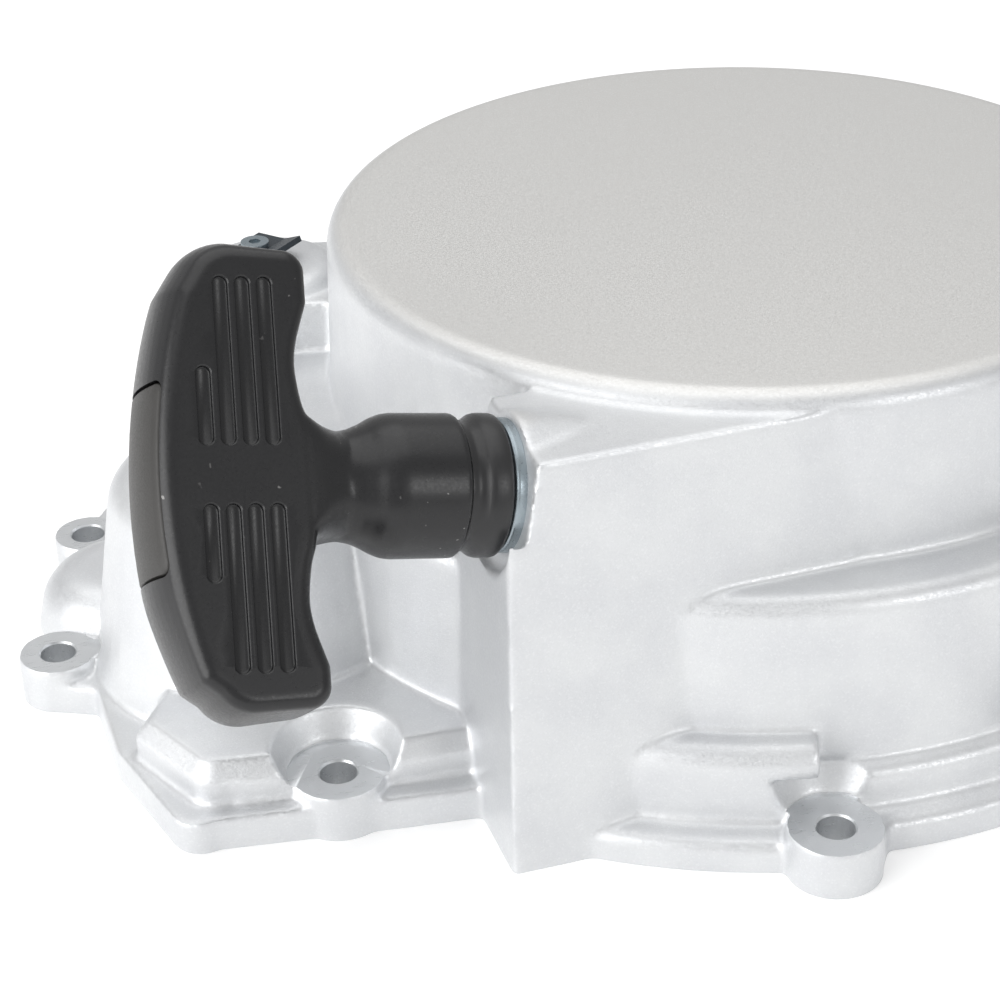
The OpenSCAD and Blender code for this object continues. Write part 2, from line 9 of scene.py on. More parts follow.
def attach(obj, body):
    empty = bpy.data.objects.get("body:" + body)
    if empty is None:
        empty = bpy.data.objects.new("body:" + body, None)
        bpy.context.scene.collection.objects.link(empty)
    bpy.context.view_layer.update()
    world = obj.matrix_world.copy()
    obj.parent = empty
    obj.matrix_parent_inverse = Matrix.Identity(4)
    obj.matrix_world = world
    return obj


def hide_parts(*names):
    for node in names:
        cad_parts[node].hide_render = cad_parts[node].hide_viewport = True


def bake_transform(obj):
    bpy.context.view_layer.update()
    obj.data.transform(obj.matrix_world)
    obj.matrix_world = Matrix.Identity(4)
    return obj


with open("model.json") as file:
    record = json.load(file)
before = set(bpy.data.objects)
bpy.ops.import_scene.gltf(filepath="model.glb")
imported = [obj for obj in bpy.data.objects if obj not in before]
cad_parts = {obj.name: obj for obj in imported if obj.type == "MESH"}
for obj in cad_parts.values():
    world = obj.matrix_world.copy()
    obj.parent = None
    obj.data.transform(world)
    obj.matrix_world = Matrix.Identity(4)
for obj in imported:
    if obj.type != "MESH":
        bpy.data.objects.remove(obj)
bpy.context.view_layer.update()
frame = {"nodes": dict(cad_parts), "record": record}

SCENE = bpy.context.scene
MM = 0.001
SAME_POINT = 1e-6

# Places and sizes shared with part.scad, in mm
GUIDE = Vector((-71.2, -66.0, 66.9))
ROPE_RISE = math.radians(11)
HANDLE_TURN = math.radians(39.5)
BOSS_H = 9.0
BOLT_HOLE_R = 3.4
BOSS_R = 8.6
# Centre and radius of each bolt boss. The two at the left end are smaller.
BOSSES = [(-128.5, 43, 7.0), (-142, 0, 7.6)] + [(x, y, BOSS_R) for x, y in (
    (-101, -57), (-24.5, -102.5), (24.5, -102.5), (84, -64), (105.5, 0),
    (84, 64), (24.5, 102.5), (-24.5, 102.5), (-101, 70))]
DRUM_H = 80.0
ROPE_R = 1.8
GROOVE_Z = 57.0
BELL_R = 12.1
NECK_R = 8.9
GRIP_T = 22.0
GRIP_SHIFT = -1.2
BACK_R = 106.0
BACK_S = 60.0

AT_GUIDE = Matrix.Translation(GUIDE) @ Matrix.Rotation(ROPE_RISE - math.pi / 2, 4, "Y")
AT_HANDLE = AT_GUIDE @ Matrix.Rotation(HANDLE_TURN, 4, "Z")


# Mesh helpers. Points are in mm in a local frame; meshes are in metres in the shared frame.

def new_object(name, data):
    obj = bpy.data.objects.new(name, data)
    SCENE.collection.objects.link(obj)
    return obj


def build(name, points, faces, at=Matrix.Identity(4)):
    """A mesh object from points in mm, placed by the matrix at, with its normals made consistent."""
    mesh = bpy.data.meshes.new(name)
    mesh.from_pydata([(at @ Vector(p)) * MM for p in points], [], faces)
    bm = bmesh.new()
    bm.from_mesh(mesh)
    bmesh.ops.recalc_face_normals(bm, faces=bm.faces)
    bm.to_mesh(mesh)
    bm.free()
    return new_object(name, mesh)


def loft(rings, loop=False):
    """Points and faces of a skin through rings of equal length, closed by two caps or into a loop."""
    n = len(rings[0])
    points = [p for ring in rings for p in ring]
    spans = len(rings) if loop else len(rings) - 1
    faces = []
    for i in range(spans):
        a, b = i * n, (i + 1) % len(rings) * n
        faces += [(a + k, a + (k + 1) % n, b + (k + 1) % n, b + k) for k in range(n)]
    if not loop:
        faces += [tuple(range(n))[::-1], tuple(range(len(points) - n, len(points)))]
    return points, faces


def revolve(profile, sides=96):
    """Rings about local z from (radius, height) pairs."""
    turns = [2 * math.pi * k / sides for k in range(sides)]
    return [[(r * math.cos(a), r * math.sin(a), z) for a in turns] for r, z in profile]


def joined(name, parts):
    """One object out of several (points, faces, matrix) parts."""
    points, faces = [], []
    for part_points, part_faces, at in parts:
        start = len(points)
        points += [at @ Vector(p) for p in part_points]
        faces += [tuple(start + i for i in f) for f in part_faces]
    return build(name, points, faces)


def cylinder(radius, low, high, sides=72):
    return loft(revolve([(radius, low), (radius, high)], sides))


def arc(cx, cy, r, start, end, steps):
    """Points of an arc, its angles in degrees."""
    turns = [math.radians(start + (end - start) * k / steps) for k in range(steps + 1)]
    return [(cx + r * math.cos(a), cy + r * math.sin(a)) for a in turns]


def smooth_curve(points, steps):
    """Open Catmull-Rom curve through 2-D or 3-D points."""
    last = len(points) - 1
    out = []
    for i in range(last):
        a, b, c, d = (Vector(points[min(max(i + k, 0), last)]) for k in (-1, 0, 1, 2))
        for k in range(steps):
            t = k / steps
            out.append(0.5 * (2 * b + (c - a) * t + (2 * a - 5 * b + 4 * c - d) * t * t
                              + (3 * b - a - 3 * c + d) * t ** 3))
    return out + [Vector(points[-1])]


def inset_curve(curve, amount):
    """A closed 2-D curve moved inwards, to its left, by a distance for each point."""
    n = len(curve)
    out = []
    for i, p in enumerate(curve):
        along = (curve[(i + 1) % n] - curve[i - 1]).normalized()
        out.append(p + Vector((-along.y, along.x)) * amount[i])
    return out


def capsule(length, radius, grow, end_steps=10):
    """Outline of a slot that runs along x from 0 to length."""
    r = radius + grow
    right = [-math.pi / 2 + math.pi * k / end_steps for k in range(end_steps + 1)]
    return ([(length - radius + r * math.cos(a), r * math.sin(a)) for a in right]
            + [(radius - r * math.cos(a), -r * math.sin(a)) for a in right])


def rounded_rectangle(half_x, half_y, corner, steps=8, straight=10):
    """Outline with points along its straight sides too, so that it can follow a curved surface."""
    centre_x, centre_y = half_x - corner, half_y - corner
    arcs = [[Vector(p) for p in arc(cx * centre_x, cy * centre_y, corner, start, start + 90, steps)]
            for cx, cy, start in ((1, 1, 0), (-1, 1, 90), (-1, -1, 180), (1, -1, 270))]
    out = []
    for i, points in enumerate(arcs):
        after = arcs[(i + 1) % 4][0]
        out += points + [points[-1].lerp(after, k / straight) for k in range(1, straight)]
    return out


def settle(obj):
    """Applies the object's modifiers to its mesh."""
    shape = obj.evaluated_get(bpy.context.evaluated_depsgraph_get())
    mesh = bpy.data.meshes.new_from_object(shape)
    mesh.materials.clear()
    obj.modifiers.clear()
    old, obj.data = obj.data, mesh
    bpy.data.meshes.remove(old)


def cast_form(obj, voxel, steps):
    """Rounds every edge and fills every corner as a casting or moulding has them."""
    skin = obj.modifiers.new("skin", "REMESH")
    skin.mode = "VOXEL"
    skin.voxel_size = voxel * MM
    soft = obj.modifiers.new("soft", "SMOOTH")
    soft.factor = 0.5
    soft.iterations = steps
    settle(obj)


def cut(obj, tool):
    """Takes the tool's shape out of obj and removes the tool."""
    mod = obj.modifiers.new("cut", "BOOLEAN")
    mod.operation = "DIFFERENCE"
    mod.object = tool
    mod.solver = "MANIFOLD"
    settle(obj)
    bpy.data.objects.remove(tool)


def thin_out(obj, ratio):
    """Leaves a share of the faces, fewer where the surface is flat."""
    mod = obj.modifiers.new("thin", "DECIMATE")
    mod.ratio = ratio
    settle(obj)


def shade(obj, angle=35):
    """Smooth shading with crisp edges above an angle in degrees."""
    bm = bmesh.new()
    bm.from_mesh(obj.data)
    limit = math.radians(angle)
    for face in bm.faces:
        face.smooth = True
    for edge in bm.edges:
        edge.smooth = len(edge.link_faces) == 2 and edge.calc_face_angle(0) < limit
    bm.to_mesh(obj.data)
    bm.free()


def place(obj, body, slot, look, node):
    """Gives a finished piece its material, its body and the CAD node that it stands for."""
    if not obj.data.materials:
        obj.data.materials.append(look[slot])
    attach(obj, body)
    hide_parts(node)


# Materials

class Finish:
    """A material in the making: its Principled shader, and short ways to add texture nodes."""

    def __init__(self, name, **sockets):
        self.mat = bpy.data.materials.new(name)
        self.mat.use_nodes = True
        self.tree = self.mat.node_tree
        self.bsdf = self.tree.nodes["Principled BSDF"]
        self.where = self.tree.nodes.new("ShaderNodeTexCoord").outputs["Object"]
        for socket, value in sockets.items():
            self.bsdf.inputs[socket.replace("_", " ")].default_value = value

    def node(self, kind, links=(), **values):
        """A new node. values go to its settings, or else to the sockets of that name."""
        made = self.tree.nodes.new(kind)
        for key, value in values.items():
            if hasattr(made, key):
                setattr(made, key, value)
            else:
                made.inputs[key.replace("_", " ")].default_value = value
        for socket, source in dict(links).items():
            self.tree.links.new(source, made.inputs[socket])
        return made

    def noise(self, size, detail=3.0, stretch=None):
        """Noise whose features are about size mm across."""
        where = self.where
        if stretch:
            where = self.node("ShaderNodeMapping", {"Vector": where}, Scale=stretch).outputs[0]
        made = self.node("ShaderNodeTexNoise", {"Vector": where}, Scale=1 / (size * MM), Detail=detail)
        return made.outputs["Fac"]

    def cells(self, size):
        """A random value for each cell of about size mm."""
        made = self.node("ShaderNodeTexVoronoi", {"Vector": self.where}, Scale=1 / (size * MM))
        return self.node("ShaderNodeSeparateColor", {"Color": made.outputs["Color"]}).outputs[0]

    def remap(self, value, low, high, to_low, to_high):
        made = self.node("ShaderNodeMapRange", {"Value": value})
        for key, number in zip(("From Min", "From Max", "To Min", "To Max"), (low, high, to_low, to_high)):
            made.inputs[key].default_value = number
        return made.outputs[0]

    def math(self, operation, a, b):
        made = self.node("ShaderNodeMath", operation=operation)
        for socket, value in zip(made.inputs, (a, b)):
            if isinstance(value, (int, float)):
                socket.default_value = value
            else:
                self.tree.links.new(value, socket)
        return made.outputs[0]

    def mix(self, factor, a, b):
        """A colour between a and b, each an RGB triple or a socket."""
        made = self.node("ShaderNodeMix", data_type="RGBA")
        self.tree.links.new(factor, made.inputs["Factor"])
        for socket, value in ((made.inputs[6], a), (made.inputs[7], b)):
            if isinstance(value, tuple):
                socket.default_value = (*value, 1)
            else:
                self.tree.links.new(value, socket)
        return made.outputs[2]

    def bump(self, height, depth, strength=1.0, under=None):
        """Bump of depth mm."""
        links = {"Height": height}
        if under is not None:
            links["Normal"] = under
        return self.node("ShaderNodeBump", links, Strength=strength, Distance=depth * MM).outputs[0]

    def set(self, socket, source):
        self.tree.links.new(source, self.bsdf.inputs[socket])


def height_of(finish):
    """Height above the gasket face, in metres."""
    return finish.node("ShaderNodeSeparateXYZ", {"Vector": finish.where}).outputs[2]


def cast_aluminium():
    """Blasted casting: clouded grey, with painted light: a lit, warmer tone on the drum's top and pale specks
    of painted glint.
    """
    m = Finish("cast_aluminium", Metallic=0.72)
    lit_top_tone, cool, pale = (0.685, 0.68, 0.665), (0.66, 0.67, 0.685), (0.82, 0.83, 0.84)
    body = m.mix(m.remap(m.noise(14, 4), 0.38, 0.62, 0, 1), cool, (0.70, 0.71, 0.72))
    # Painted light: the drum's top face gets a warmer, lighter tone that stands in for the light falling on
    # it
    lit_top_mask = m.remap(height_of(m), (DRUM_H - 1.5) * MM, (DRUM_H - 0.2) * MM, 0, 1)
    body = m.mix(lit_top_mask, body, lit_top_tone)
    # Painted glints: pale specks in the base colour stand in for light glinting off the blasted grain
    painted_glints = m.remap(m.cells(0.3), 0.84, 0.94, 0, 0.22)
    m.set("Base Color", m.mix(painted_glints, body, pale))
    m.set("Roughness", m.remap(m.noise(0.5, 2), 0.3, 0.7, 0.34, 0.56))
    coarse = m.bump(m.noise(1.3, 4), 0.05, 0.35)
    m.set("Normal", m.bump(m.cells(0.28), 0.045, 0.5, coarse))
    return m.mat


def machined_aluminium():
    """Faced metal with fine tool lines."""
    m = Finish("machined_aluminium", Metallic=0.85)
    m.set("Base Color", m.mix(m.noise(6, 3), (0.66, 0.675, 0.69), (0.75, 0.765, 0.78)))
    lines = m.noise(0.25, 2, stretch=(0.06, 1.0, 1.0))
    m.set("Roughness", m.remap(lines, 0.3, 0.7, 0.26, 0.42))
    m.set("Normal", m.bump(lines, 0.012, 0.4))
    return m.mat


def plated(name, dark, light, rough=(0.25, 0.42), grain=0.4, metallic=0.9):
    """Plated or bare steel with fine grain and faint clouds."""
    m = Finish(name, Metallic=metallic)
    m.set("Base Color", m.mix(m.noise(5, 4), dark, light))
    fine = m.noise(grain, 3)
    m.set("Roughness", m.remap(fine, 0.3, 0.7, *rough))
    m.set("Normal", m.bump(fine, 0.015, 0.5))
    return m.mat


def brushed(name, dark, light):
    """Steel with lines along z."""
    m = Finish(name, Metallic=0.92)
    lines = m.noise(0.3, 2, stretch=(1.0, 1.0, 0.08))
    m.set("Base Color", m.mix(lines, dark, light))
    m.set("Roughness", m.remap(lines, 0.3, 0.7, 0.24, 0.42))
    m.set("Normal", m.bump(lines, 0.01, 0.5))
    return m.mat


def moulded(name, dark, light, rough, texture=0.45, depth=0.02, scuffs=0.0):
    """Moulded plastic or rubber: fine skin, slight clouds, and a few pale scuffs."""
    m = Finish(name, Specular_IOR_Level=0.45)
    colour = m.mix(m.noise(9, 3), dark, light)
    skin = m.noise(texture, 3)
    roughness = m.remap(skin, 0.3, 0.7, *rough)
    if scuffs:
        scratches = m.remap(m.noise(1.1, 1, stretch=(1.0, 0.25, 1.0)), 0.74, 0.78, 0, 1)
        patches = m.remap(m.noise(17, 2), 0.5, 0.6, 0, scuffs)
        colour = m.mix(m.math("MULTIPLY", scratches, patches), colour, (0.42, 0.41, 0.40))
    m.set("Base Color", colour)
    m.set("Roughness", roughness)
    m.set("Normal", m.bump(skin, depth, 0.5))
    return m.mat


def cord_fibre():
    """Pale fibres, dull and slightly fuzzy."""
    m = Finish("rope_cord", Roughness=0.85, Sheen_Weight=0.3)
    m.set("Base Color", m.mix(m.noise(1.2, 4), (0.68, 0.67, 0.62), (0.86, 0.85, 0.80)))
    m.set("Normal", m.bump(m.noise(0.12, 3), 0.03, 0.7))
    return m.mat


def white_nylon():
    """Satin natural nylon."""
    m = Finish("white_nylon", Roughness=0.4, Specular_IOR_Level=0.5)
    m.set("Base Color", m.mix(m.noise(3, 3), (0.78, 0.77, 0.70), (0.86, 0.85, 0.79)))
    m.set("Normal", m.bump(m.noise(0.5, 3), 0.02, 0.4))
    return m.mat


def finishes():
    """The record's material slots, by name, and the machined faces of the casting."""
    return {
        "cast_aluminium": cast_aluminium(),
        "machined": machined_aluminium(),
        "zinc_steel": plated("zinc_steel", (0.25, 0.30, 0.33), (0.38, 0.43, 0.46), grain=0.35),
        "white_nylon": white_nylon(),
        "plated_sheet": plated("plated_sheet", (0.55, 0.56, 0.57), (0.68, 0.69, 0.70)),
        "dark_screw": plated("dark_screw", (0.22, 0.23, 0.25), (0.34, 0.35, 0.37), rough=(0.3, 0.45)),
        "spring_steel": brushed("spring_steel", (0.26, 0.29, 0.34), (0.42, 0.45, 0.50)),
        "dark_clip": plated("dark_clip", (0.018, 0.026, 0.034), (0.04, 0.05, 0.06),
                            rough=(0.3, 0.5), metallic=0.35),
        "reel_nylon": moulded("reel_nylon", (0.030, 0.030, 0.032), (0.050, 0.050, 0.052), (0.45, 0.62)),
        "bush_bronze": plated("bush_bronze", (0.40, 0.27, 0.11), (0.56, 0.40, 0.18), rough=(0.3, 0.45)),
        "rope_cord": cord_fibre(),
        "pawl_steel": brushed("pawl_steel", (0.20, 0.20, 0.21), (0.34, 0.34, 0.35)),
        "grip_black": moulded("grip_black", (0.009, 0.009, 0.010), (0.013, 0.013, 0.014),
                              (0.27, 0.38), scuffs=0.5),
        "cap_black": moulded("cap_black", (0.030, 0.029, 0.027), (0.038, 0.036, 0.034),
                             (0.40, 0.54), texture=0.3),
        "seal_rubber": moulded("seal_rubber", (0.014, 0.014, 0.015), (0.022, 0.022, 0.023),
                               (0.30, 0.42), depth=0.01),
    }


# Cover casting

def cast_stock():
    """The CAD casting with stock left for machining: below the gasket face and over each boss."""
    stock, allowance = 4.0, 0.35
    gasket_band = 0.05
    inset, lift = 0.15, 0.3
    mesh = frame["nodes"]["cover_casting"].data.copy()
    bm = bmesh.new()
    bm.from_mesh(mesh)
    bmesh.ops.remove_doubles(bm, verts=bm.verts, dist=SAME_POINT)
    for v in bm.verts:
        if v.co.z < gasket_band * MM:
            v.co.z -= stock * MM
    for x, y, r in BOSSES:
        points, faces = cylinder(r - inset, lift - stock, BOSS_H + allowance)
        verts = [bm.verts.new((Vector(p) + Vector((x, y, 0))) * MM) for p in points]
        for f in faces:
            bm.faces.new([verts[i] for i in f])
    bmesh.ops.recalc_face_normals(bm, faces=bm.faces)
    bm.to_mesh(mesh)
    bm.free()
    mesh.materials.clear()
    return new_object("cover_body", mesh)


def machine_cover(cover):
    """Faces the gasket plane and the boss tops and drills the bolt holes."""
    far, depth = 400.0, 40.0
    around, above = 0.7, 2.6
    overrun, chamfer = 2.0, 0.35
    square = ((-far, -far), (far, -far), (far, far), (-far, far))
    plane = loft([[(x, y, z) for x, y in square] for z in (-depth, 0.0)])
    drill = loft(revolve([(BOLT_HOLE_R, -overrun), (BOLT_HOLE_R, BOSS_H - chamfer),
                          (BOLT_HOLE_R + chamfer, BOSS_H + 0.02),
                          (BOLT_HOLE_R + chamfer, BOSS_H + overrun)], 64))
    facing, drills = [(*plane, Matrix.Identity(4))], []
    for x, y, r in BOSSES:
        at = Matrix.Translation((x, y, 0))
        facing.append((*cylinder(r + around, BOSS_H, BOSS_H + above), at))
        drills.append((*drill, at))
    cut(cover, joined("facing", facing))
    cut(cover, joined("drills", drills))


def is_machined(face):
    """Whether a face lies on the gasket plane, a boss top or in a bolt hole."""
    flush, level = 0.01, 0.99
    hole_reach, pad_reach = BOLT_HOLE_R + 0.4, 11.0
    c = face.calc_center_median() / MM
    near = min(math.hypot(c.x - x, c.y - y) for x, y, _ in BOSSES)
    on_pad = near < pad_reach and abs(c.z - BOSS_H) < flush and face.normal.z > level
    return c.z < flush or near < hole_reach or on_pad


def make_cover(look):
    """The casting, with its machined faces in a material of their own."""
    cover = cast_stock()
    cast_form(cover, voxel=0.62, steps=9)
    thin_out(cover, 0.4)
    machine_cover(cover)
    shade(cover)
    cover.data.materials.append(look["cast_aluminium"])
    cover.data.materials.append(look["machined"])
    bm = bmesh.new()
    bm.from_mesh(cover.data)
    for face in bm.faces:
        face.material_index = 1 if is_machined(face) else 0
    bm.to_mesh(cover.data)
    bm.free()
    place(cover, "housing", "cast_aluminium", look, "cover_casting")


# Handle

# The grip's outline: x along the grip, y its distance from the guide
GRIP_WAIST = [(29.5, 35.0), (26.3, 36.1), (23.0, 37.2), (19.6, 37.75), (16.2, 37.5), (13.0, 36.9),
              (10.6, 36.0)]
FOOT_S = 35.6
UPPER_HALF = 38.2
LOWER_HALF = 36.0
TIP_R = 6.2
TIP_S = 47.4
HEEL_R = 3.4
HEEL_S = 35.0
CROWN = 3.0
FRONT_EDGE_R = 1.7
INNER_EDGE_R = 2.2


def grip_side(half):
    """One half of the grip's outline, from the crest of its back to the neck."""
    back = arc(0, BACK_S - BACK_R, BACK_R, 90, 73, 14)
    tip = arc(half - TIP_R, TIP_S, TIP_R, 58, 0, 8)
    heel = arc(half - HEEL_R, HEEL_S + HEEL_R, HEEL_R, 0, -90, 8)
    waist = [(p.x, p.y) for p in smooth_curve(GRIP_WAIST, 4)]
    foot = [(b, FOOT_S) for b in (8, 5, 2)]
    return back + tip + heel + waist + foot


def grip_outline():
    """Closed outline of the grip in its own plane: x along the grip, y away from the cover."""
    mirrored = [(-b, s) for b, s in reversed(grip_side(LOWER_HALF)[1:])]
    return [Vector((b + GRIP_SHIFT, s)) for b, s in grip_side(UPPER_HALF) + mirrored][::-1]


def crown_rise(t):
    """Rise of the grip's back at t across its thickness."""
    half = GRIP_T / 2
    ball = (half ** 2 + CROWN ** 2) / (2 * CROWN)
    return math.sqrt(ball ** 2 - t * t) - (ball - CROWN)


def grip_slab():
    """The grip's bar: flat faces, a crowned back, soft edges, and a taper at the lower tip.

    Its rings run across the thickness: one rounded edge, the middle, and the other edge.
    """
    outline = grip_outline()
    half = GRIP_T / 2
    back_from, back_over = 36.0, 9.0
    taper_from, taper_over = 18.0, 16.0
    crown_loss, thickness_loss = 0.55, 0.35
    outer = [min(1, max(0, (p.y - back_from) / back_over)) for p in outline]
    taper = [min(1, max(0, (-p.x - taper_from) / taper_over)) for p in outline]
    edge = [INNER_EDGE_R + (FRONT_EDGE_R - INNER_EDGE_R) * w for w in outer]
    steps = 5
    turns = [math.pi / 2 * k / steps for k in range(steps + 1)]
    middle = [(0, share / 6) for share in range(-4, 5)]
    levels = [(-1, a) for a in reversed(turns)] + middle + [(1, a) for a in turns]
    rings = []
    for side, value in levels:
        amounts, depths = [], []
        for w, d, r in zip(outer, taper, edge):
            t = side * (half - r * (1 - math.sin(value))) if side else value * half
            rim = r * (1 - math.cos(value)) if side else 0
            amounts.append(rim - w * (1 - crown_loss * d) * crown_rise(t))
            depths.append(t * (1 - thickness_loss * d) if t > 0 else t)
        curve = inset_curve(outline, amounts)
        rings.append([(p.x, t, p.y) for p, t in zip(curve, depths)])
    return loft(rings)


def square_to_round():
    """Runs the bar's flat faces out to points on the round neck.

    A level is a distance, a power that rises as the section turns square, and two half widths.
    """
    levels = [(27.5, 2.0, NECK_R - 0.05, NECK_R - 0.05), (30.0, 2.4, NECK_R + 0.05, NECK_R + 0.2),
              (32.0, 3.2, 9.1, 9.7), (34.0, 4.5, 9.5, 10.4), (36.0, 7.0, 10.4, 10.8),
              (38.5, 12.0, 11.5, 10.8)]
    sides = 96
    turns = [2 * math.pi * k / sides for k in range(sides)]
    rings = []
    for s, power, half_b, half_t in levels:
        reach = [(abs(math.cos(a) / half_b) ** power + abs(math.sin(a) / half_t) ** power) ** (-1 / power)
                 for a in turns]
        rings.append([(r * math.cos(a), r * math.sin(a), s) for a, r in zip(turns, reach)])
    return loft(rings)


def neck_and_bell():
    axis, mouth, root = 0.01, 9.4, 44
    profile = [(axis, mouth), (BELL_R - 0.5, mouth), (BELL_R, mouth + 0.5), (BELL_R, 20.4),
               (BELL_R - 0.25, 22.0), (BELL_R - 0.9, 23.6), (BELL_R - 1.8, 25.2),
               (NECK_R + 0.55, 27.2), (NECK_R, 30.0), (NECK_R + 0.2, 33.0),
               (NECK_R + 1.0, 36.0), (NECK_R + 1.0, root), (axis, root)]
    return loft(revolve(profile))


def groove_tools():
    """Cutters of the finger grooves in the grip's front face, each with broken edges."""
    face = -GRIP_T / 2
    radius = 1.2
    first, pitch, rows = 42.3, 3.6, 4
    long_reach, short_reach = (32.2, -31.6), (17.4, -17.2)
    gap_top, gap_bottom = 4.7, -4.8
    section = [(face - 3, 0.42), (face - 0.02, 0.30), (face + 0.18, 0.06), (face + 0.75, -0.04),
               (face + 0.95, -0.3)]
    tools = []
    for row in range(rows):
        s = first + pitch * row
        top, bottom = long_reach if row < rows - 1 else short_reach
        for start, end in ((gap_top, top), (bottom, gap_bottom)):
            rings = [[(start + x, t, s + y) for x, y in capsule(end - start, radius, grow)]
                     for t, grow in section]
            tools.append((*loft(rings), AT_HANDLE))
    return tools


def back_height(b, t):
    """Height of the grip's crowned back at b along the grip and t across it."""
    return BACK_S - BACK_R + math.sqrt(BACK_R ** 2 - (b - GRIP_SHIFT) ** 2) + crown_rise(t)


def pocket(half_x, half_y, corner, low, high):
    """A block with rounded corners, to cut a recess with."""
    outline = rounded_rectangle(half_x, half_y, corner)
    return loft([[(x, y, z) for x, y in outline] for z in (low, high)])


def make_grip(look):
    """The grip with its bell, grooved in front and hollow for the rope, the knot and the seal."""
    solids = (grip_slab(), neck_and_bell(), square_to_round())
    grip = joined("handle_body", [(*solid, AT_HANDLE) for solid in solids])
    cast_form(grip, voxel=0.4, steps=6)
    thin_out(grip, 0.6)
    cut(grip, joined("grooves", groove_tools()))
    cap_recess = pocket(15.75, 9.65, 2.0, 56.0, 66.0)
    rope_bore = cylinder(ROPE_R + 0.7, 5, 46, 32)
    bell_mouth = cylinder(BELL_R - 1.8, 5, 17)
    knot_room = pocket(7, 7, 1, 44.0, 58.0)
    for tool in (cap_recess, rope_bore, bell_mouth, knot_room):
        cut(grip, build("hollow", *tool, AT_HANDLE))
    shade(grip, 40)
    place(grip, "handle", "grip_black", look, "handle_grip")


def make_cap(look):
    """The plate over the knot, flush with the curved back."""
    base, proud = 56.4, 0.02
    half_b, half_t, corner = 15.3, 9.3, 1.8
    rings = [[(x, y, base) for x, y in rounded_rectangle(half_b, half_t, corner)]]
    for grow, drop in ((0.0, 0.45), (-0.12, 0.16), (-0.42, 0.0)):
        outline = rounded_rectangle(half_b + grow, half_t + grow, corner + grow)
        rings.append([(x, y, back_height(x, y) + proud - drop) for x, y in outline])
    for share in (0.85, 0.65, 0.45, 0.25, 0.05):
        inner = [p * share for p in outline]
        rings.append([(x, y, back_height(x, y) + proud) for x, y in inner])
    cap = build("handle_plate", *loft(rings), AT_HANDLE)
    shade(cap)
    place(cap, "handle", "cap_black", look, "handle_cap")


def make_seal(look):
    """The rubber seal: a broad lip against the guide, a groove, and a sleeve inside the bell."""
    profile = [(2.4, 2.3), (11.4, 2.3), (11.75, 2.42), (12.0, 2.7), (12.1, 3.1), (12.15, 4.2), (12.1, 5.4),
               (11.95, 6.0), (11.6, 6.5), (11.2, 7.0), (10.95, 7.7), (11.0, 8.5), (11.2, 9.0), (11.2, 9.32),
               (10.2, 9.34), (10.2, 16.9), (2.4, 16.9)]
    seal = build("guide_seal", *loft(revolve(profile, 128), loop=True), AT_HANDLE)
    shade(seal, 50)
    place(seal, "handle", "seal_rubber", look, "handle_seal")


# Rope

def braided(path, radius, name, sides=20, pitch=6.0):
    """A braided cord along a path in mm, its strands raised in two crossing helices."""
    strands = 8
    rings, travelled = [], 0.0
    side = Vector((0, 1, 0))
    for i, p in enumerate(path):
        if i:
            travelled += (p - path[i - 1]).length
        along = (path[min(i + 1, len(path) - 1)] - path[max(i - 1, 0)]).normalized()
        side = (side - along * side.dot(along)).normalized()
        up = along.cross(side)
        ring = []
        for k in range(sides):
            a = 2 * math.pi * k / sides
            turn = 2 * math.pi * travelled / pitch
            weave = math.sin(strands / 2 * a + turn) * math.sin(strands / 2 * a - turn)
            r = radius * (0.93 + 0.07 * weave)
            ring.append(p + side * r * math.cos(a) + up * r * math.sin(a))
        rings.append(ring)
    cord = build(name, *loft(rings))
    shade(cord, 80)
    return cord


def evenly(points, step):
    """Points at an even distance along a polyline."""
    out, left = [points[0].copy()], step
    for a, b in zip(points, points[1:]):
        length = (b - a).length
        at = left
        while at <= length:
            out.append(a.lerp(b, at / length))
            at += step
        left = at - length
    return out


def make_rope_run(look):
    """The rope from the reel through the guide to the knot in the handle."""
    out = AT_GUIDE.to_3x3() @ Vector((0, 0, 1))
    y = -66.2
    route = [Vector(p) for p in ((0, y, GROOVE_Z), (-10, y, 57.6), (-30, y, 59.9), (-48, y, 62.4))]
    route += [GUIDE + out * s for s in (-13, 0, 15, 30, 45.4)]
    rope = braided(evenly(smooth_curve(route, 12), 0.45), ROPE_R, "rope_free")
    rope.data.materials.append(look["rope_cord"])
    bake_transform(rope)
    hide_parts("rope_run")


def make_rope_coil(look):
    """The turns on the reel, side by side in its groove."""
    turns, lane, radius = 2.6, 3.42, 62.05
    steps = 90
    route = []
    for k in range(int(turns * steps) + 1):
        done = k / steps
        a = math.radians(-90) + 2 * math.pi * done
        height = GROOVE_Z + lane * (1 - done / turns * 2)
        route.append(Vector((radius * math.cos(a), radius * math.sin(a), height)))
    coil = braided(evenly(route, 0.6), ROPE_R, "rope_turns", sides=14)
    place(coil, "reel", "rope_cord", look, "rope_coil")


def make_knot(look, name, body, centre, size, node):
    """An overhand knot: a closed three-lobed loop of cord."""
    steps = 120
    reach, thick = size * 0.19, size * 0.42
    path = []
    for k in range(steps + 1):
        a = 2 * math.pi * k / steps
        trefoil = Vector((math.sin(a) + 2 * math.sin(2 * a), math.cos(a) - 2 * math.cos(2 * a),
                          -1.6 * math.sin(3 * a)))
        path.append(centre + reach * trefoil)
    knot = braided(evenly(path, 0.3), thick, name, sides=14, pitch=4.0)
    place(knot, body, "rope_cord", look, node)


def make_knots(look):
    in_handle = AT_HANDLE @ Vector((0, 0, 49.2))
    make_knot(look, "knot_in_handle", "handle", in_handle, 3.7, "handle_knot")
    radius, turn, height = 53.2, math.radians(120), 61.6
    in_reel = Vector((radius * math.cos(turn), radius * math.sin(turn), height))
    make_knot(look, "knot_in_reel", "reel", in_reel, 2.5, "reel_knot")


# Parts that keep their CAD shape

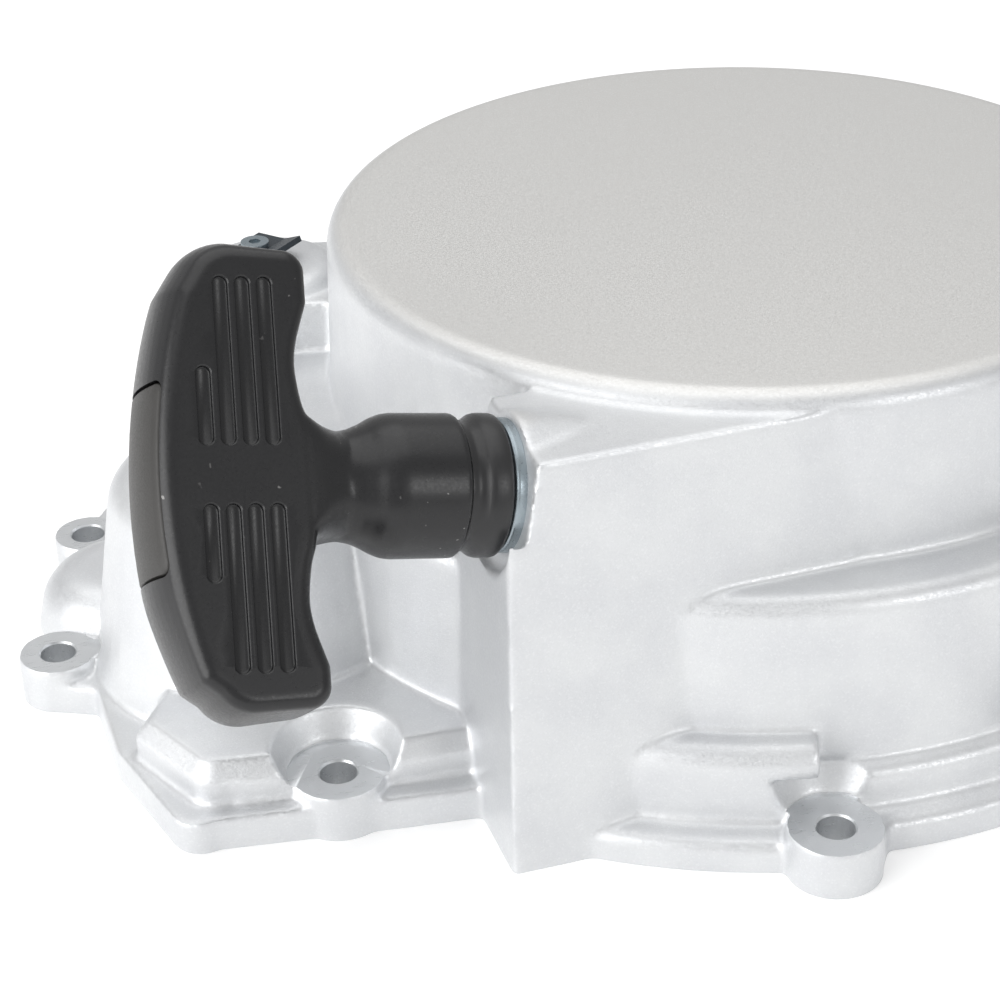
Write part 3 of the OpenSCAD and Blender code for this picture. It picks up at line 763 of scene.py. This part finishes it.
def break_edges(obj, width):
    """A small bevel on the CAD node's edges, by modifiers alone."""
    weld = obj.modifiers.new("weld", "WELD")
    weld.merge_threshold = SAME_POINT
    bevel = obj.modifiers.new("bevel", "BEVEL")
    bevel.width = width * MM
    bevel.segments = 2
    bevel.limit_method = "ANGLE"
    bevel.angle_limit = math.radians(40)
    bevel.harden_normals = True


def finish_cad_nodes(look):
    """Gives each CAD node that is still shown its material, and some a broken edge in mm."""
    slots = {row["node"]: row["material_slot"] for row in frame["record"]["subparts"]}
    bevels = {"reel": 0.25, "wire_clamp": 0.15, "clamp_screw": 0.12, "centre_bolt": 0.25, "spring_case": 0.12,
              "spring_case_screws": 0.15, "friction_plate": 0.15, "pawl_a": 0.3, "pawl_b": 0.3}
    for name, obj in frame["nodes"].items():
        if obj.hide_render:
            continue
        obj.data.materials.clear()
        obj.data.materials.append(look[slots[name]])
        if name in bevels:
            break_edges(obj, bevels[name])


# Stage

def make_floor():
    """A wide pale floor just under the gasket face, glowing a little."""
    half, drop, glow = 6000, 0.05, 0.22
    m = Finish("floor_paper", Roughness=0.9)
    paper = m.mix(m.noise(300, 2), (0.88, 0.88, 0.88), (0.90, 0.90, 0.90))
    m.set("Base Color", paper)
    m.set("Emission Color", paper)
    m.bsdf.inputs["Emission Strength"].default_value = glow
    corners = [(x, y, -drop) for x, y in ((-half, -half), (half, -half), (half, half), (-half, half))]
    floor = build("floor", corners, [(0, 1, 2, 3)])
    floor.data.materials.append(m.mat)


def area_light(name, place_mm, target_mm, size, energy):
    """A white square light, its side in metres and its energy in watts."""
    data = bpy.data.lights.new(name, "AREA")
    data.shape = "SQUARE"
    data.size = size
    data.energy = energy
    light = new_object(name, data)
    light.location = Vector(place_mm) * MM
    light.rotation_euler = (Vector(target_mm) - Vector(place_mm)).to_track_quat("-Z", "Y").to_euler()


def make_lights():
    world = bpy.data.worlds.new("studio")
    SCENE.world = world
    world.use_nodes = True
    background = world.node_tree.nodes["Background"]
    background.inputs["Color"].default_value = (1, 1, 1, 1)
    background.inputs["Strength"].default_value = 0.52
    centre = (-40, -20, 40)
    area_light("key_left", (-980, -330, 380), centre, 0.9, 9.0)
    area_light("top", (-50, 250, 1100), centre, 1.3, 6.4)
    area_light("front", (380, -980, 470), centre, 0.4, 1.9)


def make_camera():
    """A long lens that looks down at the handle's side, rolled a little."""
    heading, tilt, roll = (math.radians(a) for a in (72.5, 30.0, 1.77))
    data = bpy.data.cameras.new("camera")
    data.lens = 88.37
    data.sensor_width = 36
    data.sensor_fit = "HORIZONTAL"
    camera = new_object("camera", data)
    level = Vector((math.cos(heading), math.sin(heading), 0)) * math.cos(tilt)
    forward = level - Vector((0, 0, math.sin(tilt)))
    side = Vector((math.sin(heading), -math.cos(heading), 0))
    top = side.cross(forward)
    right = side * math.cos(roll) - top * math.sin(roll)
    up = side * math.sin(roll) + top * math.cos(roll)
    place_m = Vector((-0.17947, -0.40731, 0.27076))
    rows = [(right[i], up[i], -forward[i], place_m[i]) for i in range(3)]
    camera.matrix_world = Matrix((*rows, (0, 0, 0, 1)))
    SCENE.camera = camera


def main():
    SCENE.view_settings.view_transform = "Standard"
    look = finishes()
    make_cover(look)
    make_grip(look)
    make_cap(look)
    make_seal(look)
    make_rope_run(look)
    make_rope_coil(look)
    make_knots(look)
    finish_cad_nodes(look)
    make_floor()
    make_lights()
    make_camera()


main()
